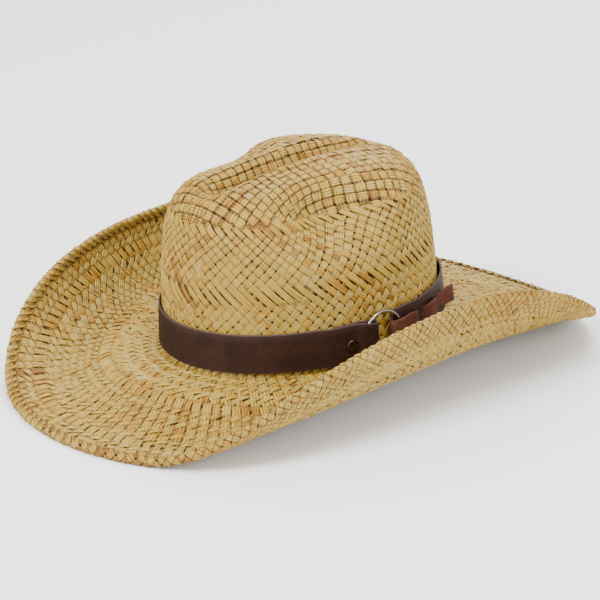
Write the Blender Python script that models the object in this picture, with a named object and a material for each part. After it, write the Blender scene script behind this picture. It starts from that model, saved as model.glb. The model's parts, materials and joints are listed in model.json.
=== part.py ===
"""Western hat: a woven straw body with a curled brim, a leather band laced through a steel ring."""

from math import cos, exp, hypot, pi, radians, sin, tau

import bmesh
import bpy
from mathutils import Matrix, Vector

# The hat's front faces -Y, the wearer's left is +X, and +Z is up.
# While the pieces are built, z = 0 is the lower edge of the band's zone on the crown.
BASE_X = 0.0840  # half-width of the crown at its foot, to the middle of the straw
BASE_Y = 0.1016  # half-length of the crown at its foot
CROWN_HEIGHT = 0.1215
BRIM_WIDTH = 0.1085
STRAW_THICK = 0.0022
GAP = 0.0003  # clearance between neighbouring pieces

# Crown profile from the middle of the tip to the foot: share of the foot's radius, of the height.
CROWN_PROFILE = [
    (0.00, 1.000), (0.20, 0.998), (0.40, 0.988), (0.58, 0.968), (0.71, 0.940), (0.81, 0.890),
    (0.875, 0.820), (0.915, 0.730), (0.942, 0.620), (0.962, 0.480), (0.978, 0.300),
    (0.990, 0.150), (1.000, 0.025),
]
CREASE_DEPTH, CREASE_WIDTH, CREASE_LENGTH = 0.021, 0.0095, 0.072
CREASE_X, CREASE_Y = -0.001, -0.004
DENT_DEPTH, DENT_DROP = 0.030, 0.005
DENT_Y, DENT_Z, DENT_LENGTH, DENT_HEIGHT = -0.020, 0.101, 0.032, 0.019
BACK_DROP = 0.003

FOOT_RADIUS = 0.005  # fillet between the crown's wall and the brim
FOOT_Z = -0.0015
CURL_START = 0.0687  # distance from the middle where the brim's sides start to curl up
CURL = 12.0  # curvature of the curl, per metre
CURL_FRONT, CURL_BACK = 0.20, -0.63  # how the curl tightens to the front and slackens to the back
BRIM_SAG, SAG_RUN = 0.0245, 0.078
FRONT_LIFT, FRONT_DIP, FRONT_START = 0.0112, 0.0042, 0.006
BACK_LIFT, BACK_DIP, BACK_START = 0.0142, 0.0075, -0.002
FOOT_FADE = 0.045

HEM_THICK = 0.0012
HEM_TOP, HEM_UNDER = 0.0065, 0.0200  # width of the hem on the brim's top and underside
HEM_MIDDLE = 0.0955  # how far out the hem's underside bends with the brim
WIRE_RADIUS = 0.0010
WIRE_INSET = 0.0027
BODY_INSET = 0.0044

AROUND = 48  # stations round the hat
REST_TILT = 2.47  # degrees the back is raised so that front and back both touch the table
REST_FLAT = 0.0004  # how much of the hem's lowest edges is pressed flat where the hat stands

SWEAT_THICK, SWEAT_BOTTOM, SWEAT_TOP = 0.0012, 0.0, 0.032
THREAD_RADIUS, THREAD_Z, STITCHES = 0.0002, 0.0070, 16
LABEL_HALF_ANGLE, LABEL_BOTTOM, LABEL_TOP, LABEL_THICK = 9.0, 0.011, 0.026, 0.0005

STRAP_THICK, STRAP_BOTTOM, STRAP_TOP = 0.0016, 0.0032, 0.0295
STRAP_EDGE = 0.0004
BAND_Z = (STRAP_BOTTOM + STRAP_TOP) / 2
STRAP_OUT = 0.0029  # middle of the strap from the middle of the straw
STRAP_LOW = 0.00265  # the same where the strap passes behind the ring
STRAP_LIFT = 0.0040  # the same where the tongue runs underneath

RING_ANGLE = 87.0
RING_RADIUS, RING_WIRE = 0.0152, 0.0011
RING_OUT = 0.00485
RING_Z = 0.0168
FOLD_NEAR = 0.0050  # from the ring's middle to the strap's fold
FOLD_INSET = 0.0020  # the strap is this much narrower, top and bottom, where it passes the ring
FOLD_FAR = 0.0096  # from the ring's middle to the tongue's fold

TONGUE_THICK = 0.0012
SLIT_HEIGHT = 0.0112
SLITS = [(105.6, 107.8), (110.0, 112.2), (120.0, 122.2), (124.4, 126.6)]
# The tongue after its fold: angle round the crown, distance out from the straw, half-width (mm).
TONGUE_RUN = [
    (95.5, 8.0, 7.5), (98.0, 7.4, 7.5), (100.4, 6.6, 7.4), (102.6, 7.0, 7.2), (104.4, 6.7, 6.4),
    (106.3, 4.9, 5.3), (107.7, 2.7, 4.9), (108.9, 2.1, 4.8), (110.1, 2.7, 4.9), (111.5, 4.9, 5.3),
    (113.4, 6.9, 6.4), (116.1, 7.8, 7.2), (118.8, 6.9, 6.4), (120.7, 4.9, 5.3), (122.1, 2.7, 4.9),
    (123.3, 2.1, 4.8), (124.5, 2.7, 4.9), (125.9, 4.9, 5.2), (128.4, 6.8, 5.8), (131.5, 9.0, 6.0),
    (134.5, 11.6, 6.0),
]

RIVET_ANGLE, RIVET_Z = 73.0, 0.0155
RIVET_SHAFT, RIVET_HOLE, RIVET_FLANGE, RIVET_CAP = 0.0014, 0.0017, 0.0034, 0.0041


def smooth(low, high, value):
    t = min(max((value - low) / (high - low), 0.0), 1.0)
    return t * t * (3 - 2 * t)


def spline(points, t):
    """Catmull-Rom curve through points, t counted in points from the first."""
    i = min(int(t), len(points) - 2)
    f = t - i
    p = [points[max(i - 1, 0)], points[i], points[i + 1], points[min(i + 2, len(points) - 1)]]
    weights = (
        (-f + 2 * f * f - f**3) / 2,
        (2 - 5 * f * f + 3 * f**3) / 2,
        (f + 4 * f * f - 3 * f**3) / 2,
        (-f * f + f**3) / 2,
    )
    return tuple(sum(w * q[k] for w, q in zip(weights, p)) for k in range(len(p[0])))


def crown_point(phi, t):
    r, h = spline(CROWN_PROFILE, t)
    x, y, z = BASE_X * r * sin(phi), -BASE_Y * r * cos(phi), h * CROWN_HEIGHT
    z -= BACK_DROP * smooth(0.3, 1.0, h) * smooth(0.01, 0.09, y)
    across = exp(-(((x - CREASE_X) / CREASE_WIDTH) ** 2))
    along = exp(-(((y - CREASE_Y) / CREASE_LENGTH) ** 4))
    z -= CREASE_DEPTH * smooth(0.86, 0.55, r) * across * along
    dent = exp(-(((y - DENT_Y) / DENT_LENGTH) ** 2) - ((z - DENT_Z) / DENT_HEIGHT) ** 2)
    dent *= smooth(0.010, 0.035, abs(x))
    x -= (DENT_DEPTH if x > 0 else -DENT_DEPTH) * dent
    return Vector((x, y, z - DENT_DROP * dent))


def brim_rise(x, y, out):
    """Height of the brim above its foot at flat position (x, y), and the curled-in x."""
    curl = CURL * (1 + CURL_FRONT * (max(-y, 0) / 0.2) ** 2 + CURL_BACK * (max(y, 0) / 0.2) ** 2)
    turn = curl * max(abs(x) - CURL_START, 0)
    across = min(abs(x), CURL_START) + sin(turn) / curl
    z = (1 - cos(turn)) / curl
    front, back = max(-y - FRONT_START, 0) / 0.1, max(y - BACK_START, 0) / 0.1
    z += FRONT_LIFT * front**2 - FRONT_DIP * front**3 + BACK_LIFT * back**2 - BACK_DIP * back**3
    return (across if x > 0 else -across), z - BRIM_SAG * smooth(0, SAG_RUN, out)


def outward(phi):
    n = Vector((sin(phi) / BASE_X, -cos(phi) / BASE_Y, 0))
    return n.normalized()


def brim_point(phi, out, lift=0.0):
    foot, n = Vector((BASE_X * sin(phi), -BASE_Y * cos(phi), 0)), outward(phi)
    flat = foot + n * out
    x, z = brim_rise(flat.x, flat.y, out)
    level = brim_rise(foot.x, foot.y, 0)[1]
    x0 = brim_rise(foot.x, foot.y, 0)[0]
    fade = 1 - smooth(0, FOOT_FADE, out)
    x += (foot.x - x0) * fade
    return Vector((x, flat.y, z - level * fade + FOOT_Z + lift))


CROWN_END = len(CROWN_PROFILE) - 1


def straw_point(phi, t):
    """Middle of the straw: crown up to CROWN_END, fillet for one more, brim for one more."""
    if t <= CROWN_END:
        return crown_point(phi, t)
    if t <= CROWN_END + 1:
        f = t - CROWN_END
        height = CROWN_PROFILE[-1][1] * CROWN_HEIGHT - FOOT_Z
        return brim_point(phi, FOOT_RADIUS * f * f, height * (1 - f) ** 2)
    return brim_point(phi, FOOT_RADIUS + (BRIM_WIDTH - FOOT_RADIUS) * (t - CROWN_END - 1))


def straw_at(phi, t, off):
    """A point off the middle of the straw, along its outward normal."""
    e = 1e-4
    along = straw_point(phi + e, t) - straw_point(phi - e, t)
    down = straw_point(phi, t + e) - straw_point(phi, t - e)
    return straw_point(phi, t) + down.cross(along).normalized() * off


def brim_t(out):
    return CROWN_END + 1 + (out - FOOT_RADIUS) / (BRIM_WIDTH - FOOT_RADIUS)


def wall_share(z):
    low, high = float(CROWN_END - 5), float(CROWN_END)
    for _ in range(40):
        mid = (low + high) / 2
        if spline(CROWN_PROFILE, mid)[1] * CROWN_HEIGHT > z:
            low = mid
        else:
            high = mid
    return spline(CROWN_PROFILE, low)[0]


def wall(phi, z, off):
    """A point at height z on the crown's wall, moved out level by off."""
    r = wall_share(z)
    return Vector((BASE_X * r * sin(phi), -BASE_Y * r * cos(phi), z)) + outward(phi) * off


def arc_rate(phi):
    return hypot(BASE_X * cos(phi), BASE_Y * sin(phi))


def new_object(name, bm, material, soft=True):
    bmesh.ops.recalc_face_normals(bm, faces=bm.faces)
    bmesh.ops.triangulate(bm, faces=bm.faces)
    mesh = bpy.data.meshes.new(name)
    bm.to_mesh(mesh)
    bm.free()
    obj = bpy.data.objects.new(name, mesh)
    bpy.context.scene.collection.objects.link(obj)
    if soft:
        mesh.shade_smooth()
    if material:
        mesh.materials.append(material)
    return obj


def loft(bm, sections, closed):
    """Join equal sections into a tube; an open one is capped at both ends."""
    rows = [[bm.verts.new(p) for p in section] for section in sections]
    pairs = list(zip(rows, rows[1:])) + ([(rows[-1], rows[0])] if closed else [])
    for a, b in pairs:
        for i in range(len(a)):
            j = (i + 1) % len(a)
            bm.faces.new((a[i], a[j], b[j], b[i]))
    if not closed:
        bm.faces.new(rows[0])
        bm.faces.new(rows[-1])


def apply_modifiers(obj):
    graph = bpy.context.evaluated_depsgraph_get()
    mesh = bpy.data.meshes.new_from_object(obj.evaluated_get(graph))
    old = obj.data
    obj.modifiers.clear()
    obj.data = mesh
    bpy.data.meshes.remove(old)


def combine(obj, other, operation):
    """Cut or join by an exact boolean, then drop the other object."""
    mod = obj.modifiers.new(operation.lower(), "BOOLEAN")
    mod.operation, mod.solver, mod.object = operation, "EXACT", other
    other.hide_render, other.display_type = True, "WIRE"
    apply_modifiers(obj)
    bpy.data.objects.remove(other)
    bm = bmesh.new()
    bm.from_mesh(obj.data)
    bmesh.ops.remove_doubles(bm, verts=bm.verts, dist=0.00002)
    bmesh.ops.dissolve_degenerate(bm, dist=0.00001, edges=bm.edges)
    bmesh.ops.triangulate(bm, faces=bm.faces)
    bm.to_mesh(obj.data)
    bm.free()
    obj.data.shade_smooth()


def material(name, color, roughness, metallic=0.0):
    mat = bpy.data.materials.new(name)
    mat.use_nodes = True
    shader = mat.node_tree.nodes["Principled BSDF"]
    shader.inputs["Base Color"].default_value = (*color, 1)
    shader.inputs["Roughness"].default_value = roughness
    shader.inputs["Metallic"].default_value = metallic
    return mat


def angles(count=AROUND):
    return [tau * i / count for i in range(count)]


def straw_rows():
    """Stations from the tip to the brim's edge."""
    crown = [0.5, 1.0, 1.5, 2.1, 2.8, 3.5, 4.3, 5.1, 6.0, 7.0, 8.0, 9.0, 10.5, 12.0]
    foot = [CROWN_END + 0.5, CROWN_END + 1]
    ends = [0.016, 0.030, 0.044, 0.058, 0.073]
    ends += [BRIM_WIDTH - HEM_UNDER, HEM_MIDDLE, BRIM_WIDTH - HEM_TOP, BRIM_WIDTH - BODY_INSET]
    return crown + foot + [brim_t(out) for out in ends]


def make_straw_body(mat):
    bm = bmesh.new()
    pole = bm.verts.new(crown_point(0, 0))
    rows = [[bm.verts.new(straw_point(a, t)) for a in angles()] for t in straw_rows()]
    for i in range(AROUND):
        j = (i + 1) % AROUND
        bm.faces.new((pole, rows[0][i], rows[0][j]))
        for a, b in zip(rows, rows[1:]):
            bm.faces.new((a[i], b[i], b[j], a[j]))
    obj = new_object("straw_body", bm, mat)
    solid = obj.modifiers.new("thickness", "SOLIDIFY")
    solid.thickness, solid.offset = STRAW_THICK, 0
    apply_modifiers(obj)
    return obj


def make_hem(mat):
    """A strip folded round the brim's edge: narrow on top, wide underneath."""
    inner, outer = STRAW_THICK / 2 + GAP, STRAW_THICK / 2 + GAP + HEM_THICK
    edge = BRIM_WIDTH
    profile = [
        (edge - HEM_TOP, inner), (edge - HEM_TOP, outer), (edge - 0.0014, outer),
        (edge - 0.0003, outer * 0.55), (edge, -outer * 0.4), (edge - 0.0014, -outer),
        (edge - HEM_TOP, -outer), (HEM_MIDDLE, -outer), (edge - HEM_UNDER, -outer),
        (edge - HEM_UNDER, -inner), (HEM_MIDDLE, -inner), (edge - HEM_TOP, -inner),
        (edge - 0.0019, -inner),
        (edge - 0.0013, -inner * 0.4), (edge - 0.0016, inner * 0.55), (edge - 0.0021, inner),
    ]
    bm = bmesh.new()
    loft(bm, [[straw_at(a, brim_t(u), n) for u, n in profile] for a in angles()], True)
    return new_object("brim_hem", bm, mat)


def make_wire(mat):
    ring = [
        (BRIM_WIDTH - WIRE_INSET + WIRE_RADIUS * cos(b), WIRE_RADIUS * sin(b)) for b in angles(6)
    ]
    bm = bmesh.new()
    loft(bm, [[straw_at(a, brim_t(u), n) for u, n in ring] for a in angles()], True)
    return new_object("brim_wire", bm, mat)


def wall_slab(phis, bottom, top, inner, outer, closed):
    bm = bmesh.new()
    mid = (bottom + top) / 2
    sections = [
        [wall(a, z, n) for z, n in (
            (bottom, inner), (mid, inner), (top, inner), (top, outer), (mid, outer), (bottom, outer)
        )]
        for a in phis
    ]
    loft(bm, sections, closed)
    return bm


def make_sweatband(mat):
    face = -STRAW_THICK / 2 - GAP
    bm = wall_slab(angles(), SWEAT_BOTTOM, SWEAT_TOP, face - SWEAT_THICK, face, True)
    return new_object("sweatband", bm, mat)


def make_label(mat):
    face = -STRAW_THICK / 2 - GAP - SWEAT_THICK - GAP
    steps = 6
    phis = [
        pi + radians(LABEL_HALF_ANGLE) * (2 * i / steps - 1) for i in range(steps + 1)
    ]
    bm = wall_slab(phis, LABEL_BOTTOM, LABEL_TOP, face - LABEL_THICK, face, False)
    return new_object("size_label", bm, mat)


def make_thread(mat, straw, sweatband):
    """One running stitch right round, with a hole for every pass through straw and band."""
    out = STRAW_THICK / 2 + 0.0001 + THREAD_RADIUS
    back = -STRAW_THICK / 2 - GAP - SWEAT_THICK - GAP - THREAD_RADIUS
    holes = angles(2 * STITCHES)
    step, hole = holes[1] / 2, THREAD_RADIUS + 0.00012
    cutter = bmesh.new()
    path = []
    for i, phi in enumerate(holes):
        near, far = (out, back) if i % 2 else (back, out)
        path += [wall(phi, THREAD_Z, near), wall(phi, THREAD_Z, far), wall(phi + step, THREAD_Z, far)]
        along = Vector((-outward(phi).y, outward(phi).x, 0)) * hole
        up = Vector((0, 0, hole))
        ends = [wall(phi, THREAD_Z, d) for d in (out + 0.0004, back - 0.0004)]
        square = (along + up, up - along, -along - up, along - up)
        loft(cutter, [[end + c for c in square] for end in ends], False)
    tool = new_object("cutter", cutter, None)
    for solid in (straw, sweatband):
        copy = bpy.data.objects.new("cutter", tool.data.copy())
        bpy.context.scene.collection.objects.link(copy)
        combine(solid, copy, "DIFFERENCE")
    bpy.data.objects.remove(tool)
    bm = bmesh.new()
    sections = []
    for i, p in enumerate(path):
        ahead, behind = path[(i + 1) % len(path)], path[i - 1]
        way = (ahead - p).normalized() + (p - behind).normalized()
        side = way.cross(Vector((0, 0, 1))).normalized() * THREAD_RADIUS
        up = Vector((0, 0, THREAD_RADIUS))
        sections.append([p + side, p + up, p - side, p - up])
    loft(bm, sections, True)
    return new_object("sweatband_thread", bm, mat)


def ribbon(stations, thick, edge):
    """Sections of a flat strap. Each station is angle (degrees), distance out, low z, high z."""
    flat = []
    for i, (deg, n, low, high) in enumerate(stations):
        a, b = stations[max(i - 1, 0)], stations[min(i + 1, len(stations) - 1)]
        rate = arc_rate(radians(deg)) + n
        run, rise = radians(b[0] - a[0]) * rate, b[1] - a[1]
        size = hypot(run, rise)
        across = (-rise / size / rate, run / size)
        flat.append((radians(deg), n, low, high, across))
    sections = []
    for phi, n, low, high, (da, dn) in flat:
        half = thick / 2
        outline = [
            (low, -half + edge), (low + edge, -half), (high - edge, -half), (high, -half + edge),
            (high, half - edge), (high - edge, half), (low + edge, half), (low, half - edge),
        ]
        sections.append([wall(phi + da * d, z, n + dn * d) for z, d in outline])
    return sections


def strap_distance(deg):
    """Middle of the strap's outer run from the straw, at an angle below the fold or past it."""
    if deg < 90:
        n = STRAP_OUT + 0.0021 * smooth(59.5, 65.5, deg)
        return n + 0.0029 * smooth(74.6, 78.4, deg)
    n = STRAP_LOW + (STRAP_LIFT - STRAP_LOW) * smooth(98, 106, deg)
    return n + (STRAP_OUT - STRAP_LIFT) * smooth(140, 165, deg)


def fold(deg, offset, inner, outer, way, steps=6):
    """Half a turn from the inner distance to the outer; way is +1 when it bulges forward."""
    radius, middle = (outer - inner) / 2, (outer + inner) / 2
    rate = arc_rate(radians(deg)) + middle
    turns = [pi * i / steps for i in range(steps + 1)]
    return [
        (deg + (offset + way * radius * sin(a)) / rate * 180 / pi, middle - radius * cos(a))
        for a in turns
    ]


def make_strap(mat):
    """Folded back on itself at one end; the other end narrows to a tongue laced through slits."""
    crest = strap_distance(83)
    radius = (crest - STRAP_LOW) / 2
    bend = fold(RING_ANGLE, -FOLD_NEAR - radius - STRAP_THICK / 2, STRAP_LOW, crest, 1)
    under = [(67.0, 0.0030), (69.0, 0.0030), (73.0, 0.0030), (75.0, 0.0030), (77.5, STRAP_LOW)]
    near = [80.4, 79.6, 78.4, 77.5, 76.5, 75.6, 74.6, 72.0, 69.0, 65.5, 63.5, 61.5, 59.5]
    far = list(range(52, -196, -8)) + [-200, -207, -214, -221, -228, -234, -240, -246, -250]
    run = [(d, strap_distance(d)) for d in near]
    run += [(d, strap_distance(d % 360 if d < -180 else min(d, 54))) for d in far]
    run += [(d, strap_distance(d % 360)) for d in (-254, -258, -262, -265, -267.2)]
    shape = []
    for d, n in under + bend + run:
        inset = FOLD_INSET * smooth(78.0, 81.0, d)
        shape.append((d, n, STRAP_BOTTOM + inset, STRAP_TOP - inset))
    bm = bmesh.new()
    loft(bm, ribbon(shape, STRAP_THICK, STRAP_EDGE), False)
    strap = new_object("hatband_strap", bm, mat)

    slots = bmesh.new()
    for low, high in SLITS:
        phis = [radians(low), radians(high)]
        corners = [
            [wall(a, z, n) for z, n in (
                (BAND_Z - SLIT_HEIGHT / 2, 0.0022), (BAND_Z + SLIT_HEIGHT / 2, 0.0022),
                (BAND_Z + SLIT_HEIGHT / 2, 0.0062), (BAND_Z - SLIT_HEIGHT / 2, 0.0062))]
            for a in phis
        ]
        loft(slots, corners, False)
    combine(strap, new_object("cutter", slots, None), "DIFFERENCE")

    shaft = Matrix.Translation(wall(radians(RIVET_ANGLE), RIVET_Z, 0.004))
    turn = outward(radians(RIVET_ANGLE)).to_track_quat("Z", "Y").to_matrix().to_4x4()
    hole = bmesh.new()
    bmesh.ops.create_cone(hole, cap_ends=True, segments=16, radius1=RIVET_HOLE, radius2=RIVET_HOLE,
                          depth=0.008, matrix=shaft @ turn)
    combine(strap, new_object("cutter", hole, None), "DIFFERENCE")

    over = 0.0078
    bend = fold(RING_ANGLE, FOLD_FAR, STRAP_LOW, over, -1)
    half = TONGUE_RUN[0][2] / 1000
    root = [(97.0, STRAP_LOW), (95.0, STRAP_LOW), (93.4, STRAP_LOW)]
    stations = [(d, n, half) for d, n in root + bend]
    count = 2 * (len(TONGUE_RUN) - 1)
    for i in range(count + 1):
        d, n, w = spline(TONGUE_RUN, i / 2)
        stations.append((d, n / 1000, w / 1000))
    bm = bmesh.new()
    shape = [(d, n, BAND_Z - w, BAND_Z + w) for d, n, w in stations]
    loft(bm, ribbon(shape, TONGUE_THICK, STRAP_EDGE / 2), False)
    combine(strap, new_object("tongue", bm, mat), "UNION")
    return strap


def lathe(name, profile, mat, steps=24):
    """Turn a closed outline of (radius, height) about the rivet's axis on the crown."""
    phi = radians(RIVET_ANGLE)
    place = Matrix.Translation(wall(phi, RIVET_Z, 0))
    place = place @ outward(phi).to_track_quat("Z", "Y").to_matrix().to_4x4()
    bm = bmesh.new()
    axis = [place @ Vector((0, 0, h)) for h in (profile[0][1], profile[-1][1])]
    rows = [
        [bm.verts.new(place @ Vector((r * cos(a), r * sin(a), h))) for a in angles(steps)]
        for r, h in profile[1:-1]
    ]
    ends = [bm.verts.new(p) for p in axis]
    for i in range(steps):
        j = (i + 1) % steps
        bm.faces.new((ends[0], rows[0][i], rows[0][j]))
        bm.faces.new((ends[1], rows[-1][j], rows[-1][i]))
        for a, b in zip(rows, rows[1:]):
            bm.faces.new((a[i], b[i], b[j], a[j]))
    return new_object(name, bm, mat)


def make_rivet(mat_cap, mat_post):
    """A domed cap outside, gripping a post whose flange lies behind both layers."""
    seat, foot = 0.0061, 0.0014
    cap = [
        (0, seat + 0.0007), (RIVET_HOLE, seat + 0.0007), (RIVET_HOLE, seat), (RIVET_CAP, seat),
        (RIVET_CAP, seat + 0.0004), (RIVET_CAP * 0.86, seat + 0.0011),
        (RIVET_CAP * 0.5, seat + 0.0016), (0, seat + 0.0018),
    ]
    post = [
        (0, foot), (RIVET_FLANGE, foot), (RIVET_FLANGE, foot + 0.0004),
        (RIVET_SHAFT, foot + 0.0005), (RIVET_SHAFT, seat + 0.0004), (0, seat + 0.0004),
    ]
    lathe("rivet_cap", cap, mat_cap)
    lathe("rivet_post", post, mat_post, 16)


def wall_lean():
    """The crown's outward direction at the ring, with the wall's taper."""
    phi = radians(RING_ANGLE)
    up = wall(phi, STRAP_TOP, 0) - wall(phi, STRAP_BOTTOM, 0)
    along = Vector((-outward(phi).y, outward(phi).x, 0))
    n = along.cross(up).normalized()
    return n if n.dot(outward(phi)) > 0 else -n


def make_ring(mat):
    """A round ring lying against the crown; its origin is on its own centre axis."""
    axis = wall_lean()
    middle = wall(radians(RING_ANGLE), RING_Z, RING_OUT)
    bm = bmesh.new()
    sections = []
    for a in angles(28):
        spoke = Vector((cos(a), sin(a), 0))
        centre = spoke * RING_RADIUS
        sections.append([
            centre + spoke * (RING_WIRE * cos(b)) + Vector((0, 0, RING_WIRE * sin(b)))
            for b in angles(8)
        ])
    loft(bm, sections, True)
    turn = axis.to_track_quat("Z", "Y").to_matrix().to_4x4()
    bmesh.ops.transform(bm, matrix=turn, verts=bm.verts)
    obj = new_object("band_ring", bm, mat)
    obj.location = middle
    return obj


def press_flat(obj, level):
    """Cut a piece off level at its lowest parts, and close it there."""
    bm = bmesh.new()
    bm.from_mesh(obj.data)
    geom = bm.verts[:] + bm.edges[:] + bm.faces[:]
    low, down = (0, 0, level), (0, 0, -1)
    bmesh.ops.bisect_plane(bm, geom=geom, plane_co=low, plane_no=down, clear_outer=True)
    bmesh.ops.holes_fill(bm, edges=[e for e in bm.edges if e.is_boundary])
    bmesh.ops.recalc_face_normals(bm, faces=bm.faces[:])
    bm.to_mesh(obj.data)
    bm.free()


def settle():
    """Stand the finished hat on z = 0, on its front and back, with its box centred on the origin."""
    tilt = Matrix.Rotation(radians(REST_TILT), 4, "X")
    for obj in bpy.context.scene.objects:
        place = tilt @ Matrix.Translation(obj.location)
        obj.data.transform(place.to_3x3().to_4x4())
        obj.location = place.translation
    bpy.context.view_layer.update()
    points = [o.matrix_world @ v.co for o in bpy.context.scene.objects for v in o.data.vertices]
    low = Vector([min(p[k] for p in points) for k in range(3)])
    high = Vector([max(p[k] for p in points) for k in range(3)])
    press_flat(bpy.data.objects["brim_hem"], low.z + REST_FLAT)
    shift = Vector((-(low.x + high.x) / 2, -(low.y + high.y) / 2, -low.z - REST_FLAT))
    for obj in bpy.context.scene.objects:
        obj.location += shift


def main():
    for obj in list(bpy.data.objects):
        bpy.data.objects.remove(obj)
    straw_mat = material("straw", (0.56, 0.40, 0.19), 0.62)
    hem_mat = material("straw_hem", (0.60, 0.44, 0.22), 0.62)
    leather = material("leather", (0.045, 0.020, 0.013), 0.45)
    steel = material("aged_steel", (0.30, 0.28, 0.25), 0.30, 1.0)
    dark = material("aged_brass", (0.10, 0.08, 0.06), 0.35, 1.0)
    straw = make_straw_body(straw_mat)
    make_hem(hem_mat)
    make_wire(material("spring_wire", (0.35, 0.35, 0.36), 0.4, 1.0))
    sweatband = make_sweatband(material("sweatband_cloth", (0.30, 0.22, 0.13), 0.9))
    make_thread(material("thread", (0.62, 0.52, 0.36), 0.8), straw, sweatband)
    make_label(material("label_cloth", (0.75, 0.72, 0.66), 0.85))
    make_strap(leather)
    make_rivet(dark, steel)
    make_ring(steel)
    settle()


main()
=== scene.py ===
"""Looks of the woven straw western hat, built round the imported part."""
import json
from math import cos, pi, radians, sin, tau

import bmesh
import bpy
import numpy as np
from mathutils import Matrix, Vector


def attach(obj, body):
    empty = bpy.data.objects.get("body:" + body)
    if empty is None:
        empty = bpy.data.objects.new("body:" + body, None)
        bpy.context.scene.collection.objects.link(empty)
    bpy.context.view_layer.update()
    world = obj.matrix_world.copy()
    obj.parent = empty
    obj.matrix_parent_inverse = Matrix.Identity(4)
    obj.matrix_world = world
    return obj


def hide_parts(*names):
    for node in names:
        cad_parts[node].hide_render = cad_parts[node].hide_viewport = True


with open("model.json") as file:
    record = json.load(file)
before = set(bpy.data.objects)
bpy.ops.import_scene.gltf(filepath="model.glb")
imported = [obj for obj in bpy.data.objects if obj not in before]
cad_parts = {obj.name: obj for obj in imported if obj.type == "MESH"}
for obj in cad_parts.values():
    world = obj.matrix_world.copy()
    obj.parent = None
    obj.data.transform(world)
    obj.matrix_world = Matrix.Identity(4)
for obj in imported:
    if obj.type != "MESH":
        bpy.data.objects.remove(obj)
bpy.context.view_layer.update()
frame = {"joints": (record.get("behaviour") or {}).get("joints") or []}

# ---- the hat's surface, as the CAD part makes it ----
BASE_X, BASE_Y, CROWN_HEIGHT, BRIM_WIDTH = 0.0840, 0.1016, 0.1215, 0.1085
CROWN_PROFILE = np.array([
    (0.00, 1.000), (0.20, 0.998), (0.40, 0.988), (0.58, 0.968), (0.71, 0.940), (0.81, 0.890),
    (0.875, 0.820), (0.915, 0.730), (0.942, 0.620), (0.962, 0.480), (0.978, 0.300),
    (0.990, 0.150), (1.000, 0.025),
])
CREASE_DEPTH, CREASE_WIDTH, CREASE_LENGTH = 0.021, 0.0095, 0.072
CREASE_X, CREASE_Y = -0.001, -0.004
DENT_DEPTH, DENT_DROP = 0.030, 0.005
DENT_Y, DENT_Z, DENT_LENGTH, DENT_HEIGHT = -0.020, 0.101, 0.032, 0.019
BACK_DROP = 0.003
FOOT_RADIUS, FOOT_Z, FOOT_FADE = 0.005, -0.0015, 0.045
CURL_START, CURL, CURL_FRONT, CURL_BACK = 0.0687, 12.0, 0.20, -0.63
BRIM_SAG, SAG_RUN = 0.0245, 0.078
FRONT_LIFT, FRONT_DIP, FRONT_START = 0.0112, 0.0042, 0.006
BACK_LIFT, BACK_DIP, BACK_START = 0.0142, 0.0075, -0.002
REST_TILT = radians(2.47)
RING_DEG, RING_OUT, RING_Z = 87.0, 0.00485, 0.0168
CROWN_END = len(CROWN_PROFILE) - 1


def smooth(low, high, value):
    t = np.clip((value - low) / (high - low), 0, 1)
    return t * t * (3 - 2 * t)


def spline(points, t):
    t = np.clip(t, 0, len(points) - 1)
    i = np.minimum(t.astype(int), len(points) - 2)
    f = (t - i)[..., None]
    p = [points[np.clip(i + k, 0, len(points) - 1)] for k in (-1, 0, 1, 2)]
    return (
        p[0] * (-f + 2 * f**2 - f**3) + p[1] * (2 - 5 * f**2 + 3 * f**3)
        + p[2] * (f + 4 * f**2 - 3 * f**3) + p[3] * (-(f**2) + f**3)
    ) / 2


def crown_point(phi, t):
    r, h = np.moveaxis(spline(CROWN_PROFILE, t), -1, 0)
    x, y, z = BASE_X * r * np.sin(phi), -BASE_Y * r * np.cos(phi), h * CROWN_HEIGHT
    z = z - BACK_DROP * smooth(0.3, 1.0, h) * smooth(0.01, 0.09, y)
    across = np.exp(-(((x - CREASE_X) / CREASE_WIDTH) ** 2))
    along = np.exp(-(((y - CREASE_Y) / CREASE_LENGTH) ** 4))
    z = z - CREASE_DEPTH * smooth(0.86, 0.55, r) * across * along
    dent = np.exp(-(((y - DENT_Y) / DENT_LENGTH) ** 2) - ((z - DENT_Z) / DENT_HEIGHT) ** 2)
    dent = dent * smooth(0.010, 0.035, np.abs(x))
    x = x - np.where(x > 0, DENT_DEPTH, -DENT_DEPTH) * dent
    return np.stack([x, y, z - DENT_DROP * dent], -1)


def brim_rise(x, y, out):
    curl = CURL * (
        1 + CURL_FRONT * (np.maximum(-y, 0) / 0.2) ** 2 + CURL_BACK * (np.maximum(y, 0) / 0.2) ** 2
    )
    turn = curl * np.maximum(np.abs(x) - CURL_START, 0)
    across = np.minimum(np.abs(x), CURL_START) + np.sin(turn) / curl
    z = (1 - np.cos(turn)) / curl
    front = np.maximum(-y - FRONT_START, 0) / 0.1
    back = np.maximum(y - BACK_START, 0) / 0.1
    z = z + FRONT_LIFT * front**2 - FRONT_DIP * front**3 + BACK_LIFT * back**2 - BACK_DIP * back**3
    return np.where(x > 0, across, -across), z - BRIM_SAG * smooth(0, SAG_RUN, out)


def outward(phi):
    n = np.stack([np.sin(phi) / BASE_X, -np.cos(phi) / BASE_Y, np.zeros_like(phi)], -1)
    return n / np.linalg.norm(n, axis=-1, keepdims=True)


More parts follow.
